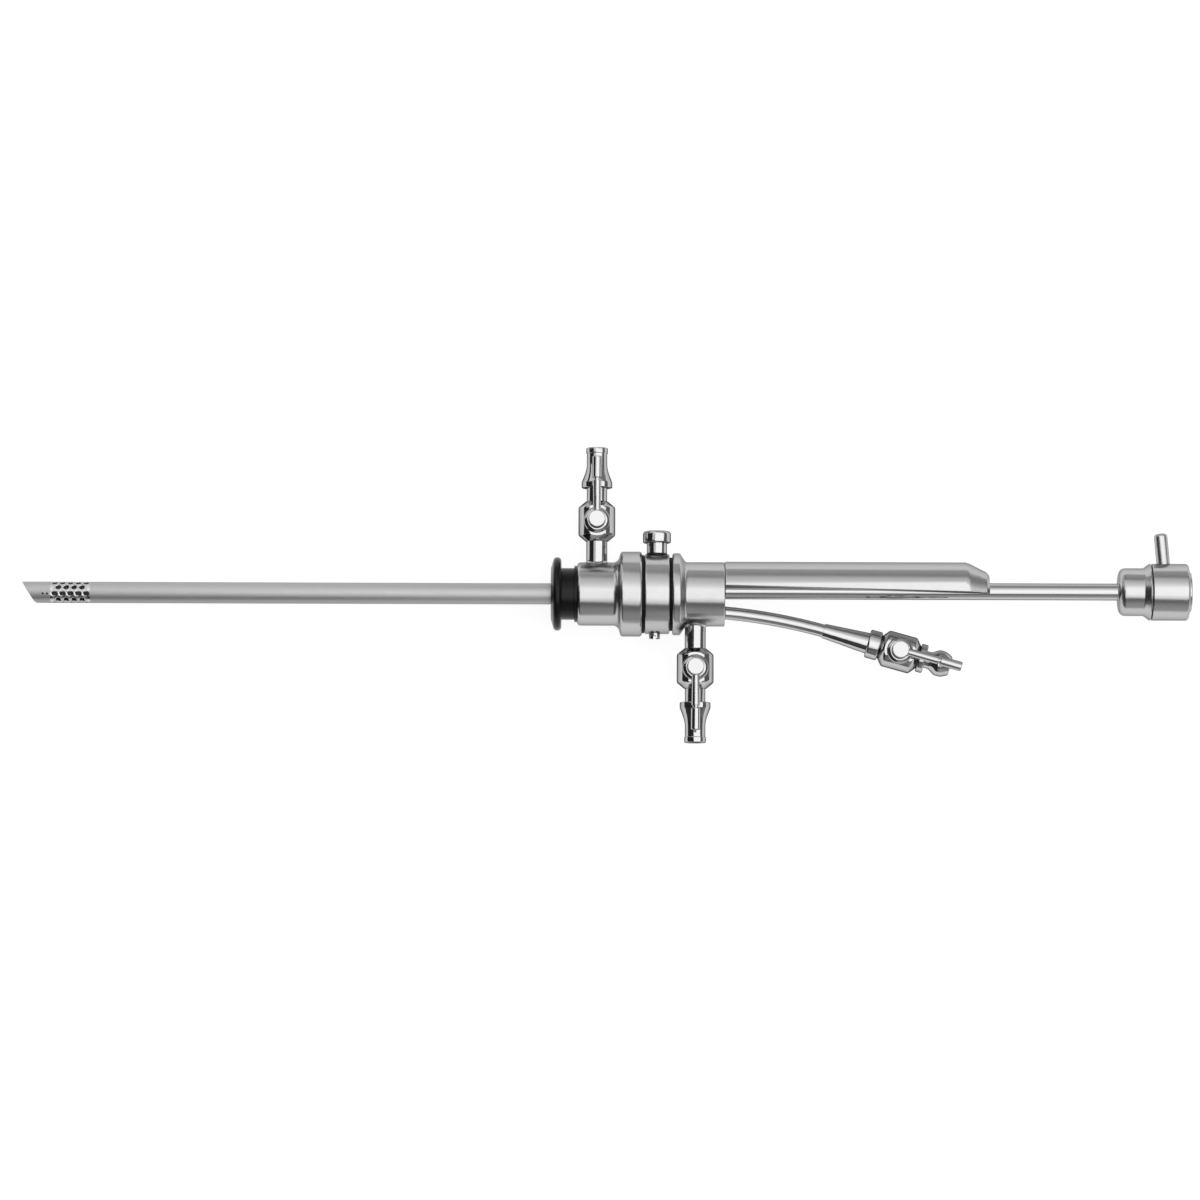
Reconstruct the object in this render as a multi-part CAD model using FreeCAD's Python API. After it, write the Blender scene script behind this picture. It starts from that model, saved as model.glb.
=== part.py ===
import FreeCAD, Part
import math
import os

Vector = FreeCAD.Vector

# The sheath lies along X. The telescope seat is the origin, the tip points to -X, taps turn about Z.

# Telescope and fits
telescope_reach = 302.0
telescope_radius = 1.45
telescope_gap = 0.075
lumen_gap = 0.05
solder_gap = 0.02
running_gap = 0.05
seal_squeeze = 0.02
cutter_spare = 1.0

# Outer tube, with its slanted tip and outflow holes
outer_tube_radius = 2.835
outer_tube_wall = 0.20
tip_slant_deg = 32.0
tip_rounding = 1.5
vent_radius = 0.65
vent_pitch = 2.1
vent_count = 5
vent_rows = 10
vent_turn_deg = 12.0
vent_setback = 8.8
vent_sink_width = 0.3
vent_sink_depth = 0.15
small_vent_radius = 0.3
small_vent_pitch = 1.2
small_vent_count = 2
small_vent_setback = 5.7

# Inner tube, oval, which holds the telescope above and the instrument below
inner_tube_wall = 0.15
inner_tube_width = 3.5
tube_running_gap = 0.035
inner_tip_setback = 0.6

# Lengths from the telescope seat towards the tip
head_length = 9.7
guide_length = 105.0
inner_hub_length = 10.4
flange_cone_length = 1.5
flange_width = 2.05
gasket_width = 0.75
housing_length = 6.6
sheath_joint_gap = 0.7
ring_width = 6.55
ring_cone_length = 0.9
ring_cone_rounding = 1.6
outer_hub_length = 10.75
nose_ring_width = 0.75
collar_length = 3.45
nose_flange_width = 2.8

# Black nose pieces
nose_flange_radius = 9.8
nose_flange_rounding = 1.0
nose_flange_dome = 0.85
collar_radius = 6.92
collar_root_rounding = 0.25
nose_ring_radius = 7.55

# Outer hub with its latch spigot
outer_hub_radius = 8.45
outer_hub_rounding = 0.9
ring_radius = 11.35
ring_rounding = 0.8
outer_chamber_radius = 4.0
outer_front_wall = 2.5
outer_rear_wall = 1.6
spigot_radius = 5.6
spigot_length = 7.7
spigot_bore_radius = 3.2
latch_side_gap = 0.15
o_ring_thickness = 0.9
o_ring_setback = 0.7
index_pin_radius = 0.75
index_pin_offset = 8.5
index_pin_seat = 2.1
index_pin_reach = 1.2

# Lock housing, slide and button
housing_radius = 10.65
housing_rounding = 0.4
slide_thickness = 2.2
slide_radius = 8.2
slide_half_width = 7.2
slide_top = 8.0
slide_bottom = 7.4
slide_gap = 0.1
slide_travel = 1.4
latch_bite = 0.9
latch_clearance = 0.15
slide_setback = 1.9
slide_hole_slack = 0.35
button_offset = 0.25
button_radius = 3.75
button_height = 3.2
button_rounding = 0.9
button_base_rounding = 0.45
skirt_radius = 2.7
skirt_wall = 0.5
button_gap = 2.94
skirt_lift = 0.14
button_rod_radius = 0.8
bush_flange_radius = 3.15
bush_flange_height = 0.66
bush_rounding = 0.15
bush_radius = 3.0
bush_seat_depth = 0.6
spring_wire_radius = 0.17
spring_radius = 1.85
spring_turns = 5
pin_offset = -0.35
slide_pin_radius = 1.45
slide_pin_shank_radius = 0.7
slide_pin_shank_length = 1.6
slide_pin_proud = 1.3
slide_pin_slot_width = 0.6
slide_pin_slot_depth = 0.8

# Inner hub
inner_hub_radius = 8.6
inner_hub_rounding = 0.35
nose_radius = 8.5
hub_flange_radius = 10.95
hub_flange_rounding = 0.5
flange_root_rounding = 1.0
gasket_radius = 9.8
spigot_end_gap = 0.2
inner_front_wall = 2.5
inner_rear_wall = 4.0
inner_chamber_front_radius = 3.3
inner_chamber_rear_radius = 6.3

# Guide tube and grip
guide_tube_wall = 0.725
grip_radius = 7.8
grip_flat = 7.65
grip_length = 70.5
grip_edge_front = 0.9
grip_edge_rear = -0.8
grip_nose_length = 5.9
grip_nose_rounding = 3.0
grip_nose_drop = 2.6
grip_nose_face = 4.3
grip_nose_tip = 0.7
grip_joint_gap = 0.02

# Instrument channel
channel_radius = 1.73
channel_bore_radius = 1.0
channel_drop = 4.95
channel_start_deg = 5.0
channel_end_deg = 15.5
channel_bend_radius = 148.0
channel_straight = 20.6
ferrule_length = 12.2
ferrule_end_radius = 2.82
ferrule_wall = 0.22
union_radius = 3.85
union_length = 3.35
union_rounding = 0.5

# Tap: body, tapered plug, lever, washer and nut
tap_radius = 4.92
tap_length = 10.7
tap_shoulder_radius = 3.0
tap_corner = 1.6
tap_corner_rounding = 0.9
tap_end_rounding = 0.3
tap_flat = 4.5
tap_boss_radius = 3.5
tap_boss_top_radius = 2.6
tap_boss_height = 0.75
tap_boss_cone = 0.6
tap_boss_rounding = 0.8
tap_bore_radius = 1.4
plug_top_radius = 2.25
plug_bottom_radius = 1.95
plug_gap = 0.03
plug_recess = 0.2
plug_stem_radius = 1.3
plug_stem_height = 1.8
plug_stud_radius = 1.1
knob_radius = 2.25
knob_height = 3.4
knob_gap = 0.1
knob_chamfer = 0.25
lever_height = 7.05
lever_root_radius = 0.95
lever_radius = 1.15
lever_groove_start = 10.3
lever_groove_width = 0.7
lever_groove_depth = 0.3
lever_groove_rounding = 0.2
lever_tip_radius = 1.3
lever_length = 16.8
washer_radius = 2.35
washer_thickness = 0.25
washer_dish = 0.2
nut_radius = 2.2
nut_height = 1.9
nut_slot_width = 0.7
nut_slot_depth = 0.6

# Branch pipes and hose nozzles
pipe_radius = 2.8
pipe_bore_radius = 1.6
pipe_spigot_radius = 2.2
pipe_spigot_length = 1.6
pipe_seat_depth = 3.0
outer_tap_distance = 19.4
inner_tap_distance = 19.9
outer_tap_setback = 5.2
inner_tap_setback = 7.8
nozzle_waist_radius = 2.73
nozzle_skirt_radius = 4.1
nozzle_skirt_start = 9.0
nozzle_skirt_rim = 1.5
nozzle_skirt_rounding = 0.25
nozzle_flare_length = 3.6
nozzle_flare_rounding = 8.0
nozzle_length = 19.8
nozzle_lip_radius = 2.9
nozzle_lip_width = 1.5
nozzle_lip_rounding = 0.3
nozzle_lip_root_rounding = 0.1
nozzle_neck_end_radius = 2.74
nozzle_bore_radius = 2.05
nozzle_bore_depth = 7.5

# Instrument port
port_ring_radius = 3.85
port_ring_width = 1.85
port_ring_rounding = 0.4
port_neck_radius = 2.3
port_neck_length = 1.35
port_neck_rounding = 0.7
port_head_radius = 3.5
port_head_shoulder = 1.9
port_head_shoulder_rounding = 2.0
port_head_length = 5.55
port_head_dome = 1.8
port_head_rounding = 3.5
port_mouth_radius = 2.5
port_mouth_rounding = 0.4
port_bore_radius = 2.0
port_bore_depth = 4.0
port_seal_radius = 1.6
port_seal_thickness = 0.9
port_seal_hole_radius = 0.5

# Coupling head, lock ring and thumb pin
head_radius = 6.38
head_rounding = 1.8
head_cone_length = 1.6
head_cone_rounding = 0.6
head_land_length = 0.2
ring_gap = 0.4
head_shoulder = 1.3
lock_ring_radius = 7.6
lock_ring_end = 8.9
lock_ring_rounding = 0.8
lock_ring_front_rounding = 0.25
sleeve_end = 9.65
sleeve_radius = 5.3
sleeve_rounding = 0.3
socket_radius = 4.5
socket_rounding = 0.2
tube_seat_start = 4.0
telescope_seal_thickness = 1.0
telescope_seal_place = 2.0
telescope_seal_gap = 0.06
retainer_place = 3.8
retainer_width = 0.8
retainer_depth = 0.35
retainer_height = 0.4
retainer_opening = 1.6
stop_pin_place = 1.5
stop_pin_radius = 0.6
stop_pin_height = 0.8
stop_slot_gap = 0.1
lock_turn_deg = 50.0
lock_track_spare_deg = 20.0
bayonet_slot_width = 2.2
bayonet_slot_depth = 4.4
bayonet_track_width = 1.7
bayonet_track_radius = 6.3
thumb_pin_radius = 1.8
thumb_pin_place = 2.35
thumb_pin_lean_deg = 4.9
thumb_pin_height = 8.1
thumb_pin_seat = 0.55
thumb_pin_rounding = 0.9
thumb_pin_spigot_radius = 1.1
thumb_pin_spigot_length = 0.7

# Places worked out from the sizes above
inner_tube_half_height = outer_tube_radius - outer_tube_wall - tube_running_gap
telescope_offset = inner_tube_half_height - inner_tube_wall - telescope_radius - lumen_gap
sheath_y = -telescope_offset
guide_bore_radius = telescope_radius + telescope_gap
guide_tube_radius = guide_bore_radius + guide_tube_wall
tip_x = -telescope_reach
head_front_x = -head_length
inner_hub_rear_x = head_front_x - guide_length
flange_rear_x = inner_hub_rear_x - inner_hub_length - flange_cone_length
flange_front_x = flange_rear_x - flange_width
housing_rear_x = flange_front_x - gasket_width
housing_front_x = housing_rear_x - housing_length
ring_rear_x = housing_front_x - sheath_joint_gap
ring_front_x = ring_rear_x - ring_width
outer_hub_front_x = ring_front_x - outer_hub_length
collar_rear_x = outer_hub_front_x - nose_ring_width
collar_front_x = collar_rear_x - collar_length
nose_front_x = collar_front_x - nose_flange_width
slide_x = housing_front_x + slide_setback + slide_thickness / 2
slide_front_x = slide_x - slide_thickness / 2
slide_rear_x = slide_x + slide_thickness / 2
spigot_end_x = ring_rear_x + spigot_length
spigot_hole_radius = spigot_radius + running_gap
latch_lip = spigot_radius - latch_bite
o_ring_x = spigot_end_x - o_ring_thickness / 2 - o_ring_setback
nose_front_face_x = slide_rear_x + slide_gap
inner_recess_end_x = spigot_end_x + spigot_end_gap
inner_chamber_front_x = inner_recess_end_x + inner_front_wall
inner_chamber_rear_x = inner_hub_rear_x - inner_rear_wall
outer_chamber_front_x = outer_hub_front_x + outer_front_wall
outer_chamber_rear_x = ring_rear_x - outer_rear_wall
button_x = slide_x + button_offset
slide_pin_x = slide_x + pin_offset
housing_top = sheath_y + housing_radius
bush_seat_y = housing_top - bush_seat_depth
bush_top_y = bush_seat_y + bush_flange_height
spring_seat_y = bush_top_y + skirt_lift - slide_travel - slide_gap
button_base_y = bush_top_y + button_gap
slide_rest_rise = spigot_radius + latch_clearance - latch_lip
outer_tap_x = outer_hub_front_x + outer_tap_setback
inner_tap_x = inner_hub_rear_x - inner_tap_setback
tap_half_length = tap_length / 2
tap_top = tap_flat + tap_boss_height
socket_bottom = tap_half_length - pipe_spigot_length - solder_gap
lock_ring_start = ring_gap - head_shoulder


def outline(corners):
    """Closed wire through (x, y, rounding) corners; a tangent arc rounds each corner that asks for it."""
    stations = []
    for index, corner in enumerate(corners):
        here = Vector(corner[0], corner[1], 0)
        rounding = corner[2] if len(corner) > 2 else 0
        before = corners[index - 1]
        after = corners[(index + 1) % len(corners)]
        back = (Vector(before[0], before[1], 0) - here).normalize()
        onward = (Vector(after[0], after[1], 0) - here).normalize()
        half_angle = back.getAngle(onward) / 2
        reach = rounding / math.tan(half_angle)
        middle = here + (back + onward).normalize() * (rounding / math.sin(half_angle) - rounding) \
            if rounding else here
        stations.append((here + back * reach, middle, here + onward * reach, rounding))
    edges = []
    for index, (start, middle, end, rounding) in enumerate(stations):
        if rounding:
            edges.append(Part.Arc(start, middle, end).toShape())
        following = stations[(index + 1) % len(stations)][0]
        if end.distanceToPoint(following) > 1e-6:
            edges.append(Part.LineSegment(end, following).toShape())
    return Part.Wire(edges)


def turned(corners, y=0.0):
    """Solid turned about an X line at height y, from an (x, radius, rounding) outline."""
    solid = Part.Face(outline(corners)).revolve(Vector(0, 0, 0), Vector(1, 0, 0), 360)
    solid.translate(Vector(0, y, 0))
    return solid


def turned_upright(corners):
    """Solid turned about the Z axis, from a (radius, z, rounding) outline."""
    solid = Part.Face(outline(corners)).revolve(Vector(0, 0, 0), Vector(0, 1, 0), 360)
    solid.rotate(Vector(0, 0, 0), Vector(1, 0, 0), 90)
    return solid


def tube(start_x, end_x, radius, bore_radius, y=0.0):
    """Round tube along X."""
    corners = [(start_x, bore_radius), (end_x, bore_radius), (end_x, radius), (start_x, radius)]
    return turned(corners, y)


def rod(start, end, radius):
    """Round rod from one point to another."""
    along = end - start
    return Part.makeCylinder(radius, along.Length, start, along)


def block(low, high):
    """Box between two corners."""
    size = high - low
    return Part.makeBox(size.x, size.y, size.z, low)


def side_shape(corners, half_width):
    """Outline in the XY plane, carried half_width to each side along Z."""
    face = Part.Face(outline(corners))
    face.translate(Vector(0, 0, -half_width))
    return face.extrude(Vector(0, 0, 2 * half_width))


def oval(start_x, end_x, half_height, half_width, y):
    """Bar along X with a section of two half circles joined by straight sides."""
    rise = half_height - half_width
    low = rod(Vector(start_x, y - rise, 0), Vector(end_x, y - rise, 0), half_width)
    high = rod(Vector(start_x, y + rise, 0), Vector(end_x, y + rise, 0), half_width)
    middle = block(Vector(start_x, y - rise, -half_width), Vector(end_x, y + rise, half_width))
    return low.fuse([high, middle]).removeSplitter()


def o_ring(x, outer_radius, thickness, y=0.0):
    """Round rubber ring about an X line."""
    ring = Part.makeTorus(outer_radius - thickness / 2, thickness / 2, Vector(x, y, 0), Vector(1, 0, 0))
    return ring


def tip_side_outline(setback):
    """Side view of what the slanted cut leaves of a tube."""
    slope = math.tan(math.radians(tip_slant_deg))
    top = sheath_y + outer_tube_radius
    bottom = sheath_y - outer_tube_radius
    front = tip_x + setback
    spare = outer_tube_radius
    rear = head_front_x
    return [(front, top), (front + slope * (top - bottom), bottom, tip_rounding),
            (rear, bottom), (rear, top + spare), (front - slope * spare, top + spare)]


def vent(x, angle_deg, radius, sink_width):
    """Cutter for one outflow hole and its countersink at an angle round the tube, from the +Z side."""
    bottom = inner_tube_half_height
    sink_bottom = outer_tube_radius - vent_sink_depth
    top = outer_tube_radius + cutter_spare
    slope = sink_width / vent_sink_depth
    corners = [(0, bottom), (radius, bottom), (radius, sink_bottom),
               (radius + slope * (top - sink_bottom), top), (0, top)]
    cutter = turned_upright(corners)
    cutter.translate(Vector(x, sheath_y, 0))
    cutter.rotate(Vector(0, sheath_y, 0), Vector(1, 0, 0), vent_turn_deg + angle_deg)
    return cutter


def make_outer_tube():
    """Fenestrated outer tube: staggered rows of outflow holes all round, a slanted tip."""
    end_x = outer_chamber_front_x
    body = tube(tip_x - outer_tube_radius, end_x, outer_tube_radius, outer_tube_radius - outer_tube_wall,
                sheath_y)
    body = body.common(side_shape(tip_side_outline(0), outer_tube_radius + cutter_spare))
    cutters = []
    for row in range(vent_rows):
        staggered = row % 2
        angle = 360.0 * row / vent_rows
        for index in range(vent_count - staggered):
            x = tip_x + vent_setback + (index + 0.5 * staggered) * vent_pitch
            cutters.append(vent(x, angle, vent_radius, vent_sink_width))
    for index in range(small_vent_count):
        x = tip_x + small_vent_setback + index * small_vent_pitch
        cutters.append(vent(x, 0, small_vent_radius, 0))
    return body.cut(cutters)


def make_inner_tube():
    """Oval inner tube from inside the inner hub to just behind the outer tip."""
    start_x = tip_x - outer_tube_radius
    end_x = inner_chamber_front_x
    half_width = inner_tube_width / 2
    outside = oval(start_x, end_x, inner_tube_half_height, half_width, sheath_y)
    inside = oval(start_x, end_x, inner_tube_half_height - inner_tube_wall, half_width - inner_tube_wall,
                  sheath_y)
    body = outside.cut(inside)
    return body.common(side_shape(tip_side_outline(inner_tip_setback), outer_tube_radius + cutter_spare))


def make_nose_flange():
    """Black flange and collar in one piece, threaded over the tube's root."""
    bore = outer_tube_radius + solder_gap
    return turned([(nose_front_x, bore), (nose_front_x, collar_radius),
                   (nose_front_x + nose_flange_dome, nose_flange_radius, nose_flange_rounding),
                   (collar_front_x, nose_flange_radius, nose_flange_rounding),
                   (collar_front_x, collar_radius, collar_root_rounding),
                   (collar_rear_x, collar_radius), (collar_rear_x, bore)], sheath_y)


def make_nose_ring():
    """Black washer between the collar and the hub."""
    return tube(collar_rear_x, outer_hub_front_x, nose_ring_radius, outer_tube_radius + solder_gap, sheath_y)


def make_outer_hub():
    """Outflow hub: body, big rear ring and the grooved spigot that the latch holds."""
    groove_floor = latch_lip - latch_clearance
    groove_front = slide_front_x - latch_side_gap
    groove_rear = slide_rear_x + latch_side_gap
    seal_front = o_ring_x - o_ring_thickness / 2
    seal_rear = o_ring_x + o_ring_thickness / 2
    seal_floor = spigot_hole_radius - seal_squeeze - o_ring_thickness
    hub = turned([(outer_hub_front_x, outer_tube_radius + solder_gap),
                  (outer_hub_front_x, outer_hub_radius, outer_hub_rounding),
                  (ring_front_x, outer_hub_radius, ring_cone_rounding),
                  (ring_front_x + ring_cone_length, ring_radius, ring_rounding),
                  (ring_rear_x, ring_radius, ring_rounding),
                  (ring_rear_x, spigot_radius),
                  (groove_front, spigot_radius), (groove_front, groove_floor),
                  (groove_rear, groove_floor), (groove_rear, spigot_radius),
                  (seal_front, spigot_radius), (seal_front, seal_floor),
                  (seal_rear, seal_floor), (seal_rear, spigot_radius),
                  (spigot_end_x, spigot_radius), (spigot_end_x, spigot_bore_radius),
                  (outer_chamber_rear_x, spigot_bore_radius),
                  (outer_chamber_rear_x, outer_chamber_radius),
                  (outer_chamber_front_x, outer_chamber_radius),
                  (outer_chamber_front_x, outer_tube_radius + solder_gap)], sheath_y)
    seat = rod(Vector(outer_tap_x, sheath_y + outer_hub_radius - pipe_seat_depth, 0),
               Vector(outer_tap_x, sheath_y + ring_radius, 0), pipe_radius + solder_gap)
    flow = rod(Vector(outer_tap_x, sheath_y, 0), Vector(outer_tap_x, sheath_y + outer_hub_radius, 0),
               pipe_bore_radius)
    pin_hole = rod(Vector(ring_rear_x - index_pin_seat, sheath_y, -index_pin_offset),
                   Vector(ring_rear_x, sheath_y, -index_pin_offset), index_pin_radius + solder_gap)
    return hub.cut([seat, flow, pin_hole])


def make_index_pin():
    """Small pin in the ring's rear face that keeps the sheath from turning in the housing."""
    return rod(Vector(ring_rear_x - index_pin_seat, sheath_y, -index_pin_offset),
               Vector(housing_front_x + index_pin_reach, sheath_y, -index_pin_offset), index_pin_radius)


def make_lock_housing():
    """Ring that takes the spigot; its pocket for the slide opens to the rear, where the hub closes it."""
    nose_bore = nose_radius + solder_gap
    body = turned([(housing_front_x, spigot_hole_radius),
                   (housing_front_x, housing_radius, housing_rounding),
                   (housing_rear_x, housing_radius, housing_rounding),
                   (housing_rear_x, nose_bore), (nose_front_face_x, nose_bore),
                   (nose_front_face_x, spigot_hole_radius)], sheath_y)
    down = slide_travel + slide_gap
    pocket_radius = slide_radius + slide_gap
    pocket = oval(slide_front_x - slide_gap, nose_front_face_x, pocket_radius + down / 2, pocket_radius,
                  sheath_y - down / 2)
    pocket = pocket.common(block(
        Vector(slide_front_x - slide_gap, sheath_y - slide_bottom - down, -slide_half_width - slide_gap),
        Vector(nose_front_face_x, sheath_y + slide_top + slide_gap, slide_half_width + slide_gap)))
    top_y = housing_top + bush_flange_height
    bush_face = rod(Vector(button_x, bush_seat_y, 0), Vector(button_x, top_y, 0),
                    bush_flange_radius + solder_gap)
    bush_seat = rod(Vector(button_x, spring_seat_y, 0), Vector(button_x, top_y, 0), bush_radius + solder_gap)
    rod_hole = rod(Vector(button_x, sheath_y + slide_bottom, 0), Vector(button_x, top_y, 0),
                   button_rod_radius + running_gap)
    pin_hole = rod(Vector(slide_pin_x, sheath_y - slide_bottom, 0),
                   Vector(slide_pin_x, sheath_y - ring_radius, 0), slide_pin_radius + running_gap)
    index_hole = rod(Vector(housing_front_x, sheath_y, -index_pin_offset),
                     Vector(housing_front_x + index_pin_reach + slide_gap, sheath_y, -index_pin_offset),
                     index_pin_radius + running_gap)
    return body.cut([pocket, bush_face, bush_seat, rod_hole, pin_hole, index_hole])


def make_lock_slide():
    """Flat slide with an oval hole; its lower lip drops behind the spigot's land."""
    blank = rod(Vector(slide_front_x, sheath_y, 0), Vector(slide_rear_x, sheath_y, 0), slide_radius)
    blank = blank.common(block(Vector(slide_front_x, sheath_y - slide_bottom, -slide_half_width),
                               Vector(slide_rear_x, sheath_y + slide_top, slide_half_width)))
    hole_radius = spigot_radius + latch_clearance
    hole = oval(slide_front_x, slide_rear_x, hole_radius + slide_hole_slack / 2, hole_radius,
                sheath_y + slide_rest_rise + slide_hole_slack / 2)
    stem_hole = rod(Vector(button_x, sheath_y + spigot_radius, 0), Vector(button_x, sheath_y + slide_radius, 0),
                    button_rod_radius + solder_gap)
    pin_hole = rod(Vector(slide_pin_x, sheath_y - slide_bottom + slide_pin_shank_length, 0),
                   Vector(slide_pin_x, sheath_y - slide_bottom, 0), slide_pin_shank_radius + solder_gap)
    return blank.cut([hole, stem_hole, pin_hole])


def make_slide_pin():
    """Guide pin screwed into the slide from below, with a screwdriver slot in its end."""
    top_y = sheath_y - slide_bottom
    end_y = sheath_y - housing_radius - slide_pin_proud
    body = rod(Vector(slide_pin_x, top_y, 0), Vector(slide_pin_x, end_y, 0), slide_pin_radius)
    shank = rod(Vector(slide_pin_x, top_y + slide_pin_shank_length, 0), Vector(slide_pin_x, top_y, 0),
                slide_pin_shank_radius)
    half_slot = slide_pin_slot_width / 2
    slot = block(Vector(slide_pin_x - half_slot, end_y, -slide_pin_radius),
                 Vector(slide_pin_x + half_slot, end_y + slide_pin_slot_depth, slide_pin_radius))
    return body.fuse(shank).cut(slot)


def upright_at(shape, x, y):
    """Stand a shape that was turned about Z up along +Y, on the point (x, y)."""
    shape.rotate(Vector(0, 0, 0), Vector(1, 0, 0), -90)
    shape.translate(Vector(x, y, 0))
    return shape


def make_button_bush():
    """Flanged bush in the housing that guides the button's skirt."""
    bore = skirt_radius + running_gap
    depth = bush_seat_y - spring_seat_y
    bush = turned_upright([(bore, -depth), (bush_radius, -depth), (bush_radius, 0),
                           (bush_flange_radius, 0), (bush_flange_radius, bush_flange_height, bush_rounding),
                           (bore, bush_flange_height)])
    return upright_at(bush, button_x, bush_seat_y)


def make_release_button():
    """Round cap with a hollow skirt over the spring and a rod down to the slide."""
    skirt_end = bush_top_y + skirt_lift - button_base_y
    rod_end = sheath_y + slide_rest_rise + slide_hole_slack + spigot_radius + latch_clearance - button_base_y
    skirt_bore = skirt_radius - skirt_wall
    button = turned_upright([(0, rod_end + latch_clearance), (button_rod_radius, rod_end + latch_clearance),
                             (button_rod_radius, 0), (skirt_bore, 0), (skirt_bore, skirt_end),
                             (skirt_radius, skirt_end), (skirt_radius, 0),
                             (button_radius, 0, button_base_rounding),
                             (button_radius, button_height, button_rounding), (0, button_height)])
    return upright_at(button, button_x, button_base_y)


def make_button_spring():
    """Coil spring round the button's rod, between housing and cap."""
    start_y = spring_seat_y + spring_wire_radius + solder_gap
    height = button_base_y - spring_seat_y - 2 * (spring_wire_radius + solder_gap)
    path = Part.makeHelix(height / spring_turns, height, spring_radius)
    section = Part.Wire(Part.makeCircle(spring_wire_radius, Vector(spring_radius, 0, 0), Vector(0, 1, 0)))
    coil = Part.Wire(path.Edges).makePipeShell([section], True, True)
    return upright_at(coil, button_x, start_y)


def make_inner_hub():
    """Inflow hub: threaded nose, flange, and a chamber where telescope, channel and tap join."""
    hub = turned([(nose_front_face_x, spigot_hole_radius),
                  (nose_front_face_x, nose_radius), (flange_front_x, nose_radius),
                  (flange_front_x, hub_flange_radius, hub_flange_rounding),
                  (flange_rear_x, hub_flange_radius, hub_flange_rounding),
                  (flange_rear_x + flange_cone_length, inner_hub_radius, flange_root_rounding),
                  (inner_hub_rear_x, inner_hub_radius, inner_hub_rounding),
                  (inner_hub_rear_x, 0), (inner_chamber_rear_x, 0),
                  (inner_chamber_rear_x, inner_chamber_rear_radius),
                  (inner_chamber_front_x, inner_chamber_front_radius),
                  (inner_chamber_front_x, 0), (inner_recess_end_x, 0),
                  (inner_recess_end_x, spigot_hole_radius)], sheath_y)
    oval_hole = oval(inner_recess_end_x, inner_chamber_front_x, inner_tube_half_height + solder_gap,
                     inner_tube_width / 2 + solder_gap, sheath_y)
    guide_hole = rod(Vector(inner_chamber_rear_x, 0, 0), Vector(inner_hub_rear_x, 0, 0),
                     guide_tube_radius + solder_gap)
    start, _, direction, _, _, _ = channel_path()
    channel_hole = rod(start, start + direction * (inner_rear_wall + cutter_spare), channel_radius + solder_gap)
    seat_y = sheath_y - inner_hub_radius + pipe_seat_depth
    seat = rod(Vector(inner_tap_x, seat_y, 0), Vector(inner_tap_x, sheath_y - ring_radius, 0),
               pipe_radius + solder_gap)
    flow = rod(Vector(inner_tap_x, sheath_y, 0), Vector(inner_tap_x, seat_y, 0), pipe_bore_radius)
    return hub.cut([oval_hole, guide_hole, channel_hole, seat, flow])


def make_hub_gasket():
    """Dark ring between the lock housing and the inner hub's flange."""
    return tube(housing_rear_x, flange_front_x, gasket_radius, nose_radius + solder_gap, sheath_y)


def make_guide_tube():
    """Polished tube that leads the telescope from the head to the inner hub."""
    return tube(inner_chamber_rear_x, -tube_seat_start, guide_tube_radius, guide_bore_radius)


def make_grip():
    """Half-round bar over the guide tube: turned nose, side flats, sloping lower edges and a tube groove."""
    start_x = inner_hub_rear_x + grip_joint_gap
    end_x = start_x + grip_length
    bar = turned([(start_x, 0), (start_x, grip_radius, inner_hub_rounding),
                  (end_x - grip_nose_length, grip_radius, grip_nose_rounding),
                  (end_x - grip_nose_tip, grip_radius - grip_nose_drop, grip_nose_tip),
                  (end_x, grip_nose_face), (end_x, 0)])
    keep = side_shape([(start_x, grip_edge_front), (end_x, grip_edge_rear),
                       (end_x, grip_radius + cutter_spare), (start_x, grip_radius + cutter_spare)], grip_flat)
    groove = rod(Vector(start_x, 0, 0), Vector(end_x, 0, 0), guide_tube_radius + solder_gap)
    throat = block(Vector(start_x, -guide_tube_radius, -guide_tube_radius - solder_gap),
                   Vector(end_x, 0, guide_tube_radius + solder_gap))
    return bar.common(keep).cut([groove, throat])


def channel_path():
    """Points and directions of the instrument channel: hub, start and end of its bend, then the tap."""
    first = math.radians(channel_start_deg)
    last = math.radians(channel_end_deg)
    direction = Vector(math.cos(first), -math.sin(first), 0)
    final = Vector(math.cos(last), -math.sin(last), 0)
    bend_start = Vector(inner_hub_rear_x, sheath_y - channel_drop, 0)
    start = bend_start - direction * inner_rear_wall
    centre = bend_start + Vector(-math.sin(first), -math.cos(first), 0) * channel_bend_radius
    middle_angle = (first + last) / 2
    middle = centre + Vector(math.sin(middle_angle), math.cos(middle_angle), 0) * channel_bend_radius
    bend_end = centre + Vector(math.sin(last), math.cos(last), 0) * channel_bend_radius
    return start, bend_start, direction, middle, bend_end, final


def make_channel_tube():
    """Bent instrument tube: straight, one long arc, then straight into the ferrule."""
    start, bend_start, direction, middle, bend_end, final = channel_path()
    finish = port_point(-tap_half_length)
    path = Part.Wire([Part.LineSegment(start, bend_start).toShape(),
                      Part.Arc(bend_start, middle, bend_end).toShape(),
                      Part.LineSegment(bend_end, finish).toShape()])
    solids = []
    for radius in (channel_radius, channel_bore_radius):
        circle = Part.Wire(Part.makeCircle(radius, start, direction))
        solids.append(path.makePipeShell([circle], True, False))
    return solids[0].cut(solids[1])


def port_point(along):
    """Point on the port tap's axis, counted from the tap's centre."""
    _, _, _, _, bend_end, final = channel_path()
    return bend_end + final * (channel_straight + along)


def at_port(shape):
    """Move a piece from the tap's own frame to the instrument port."""
    shape.rotate(Vector(0, 0, 0), Vector(0, 0, 1), -channel_end_deg)
    shape.translate(port_point(0))
    return shape


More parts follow.
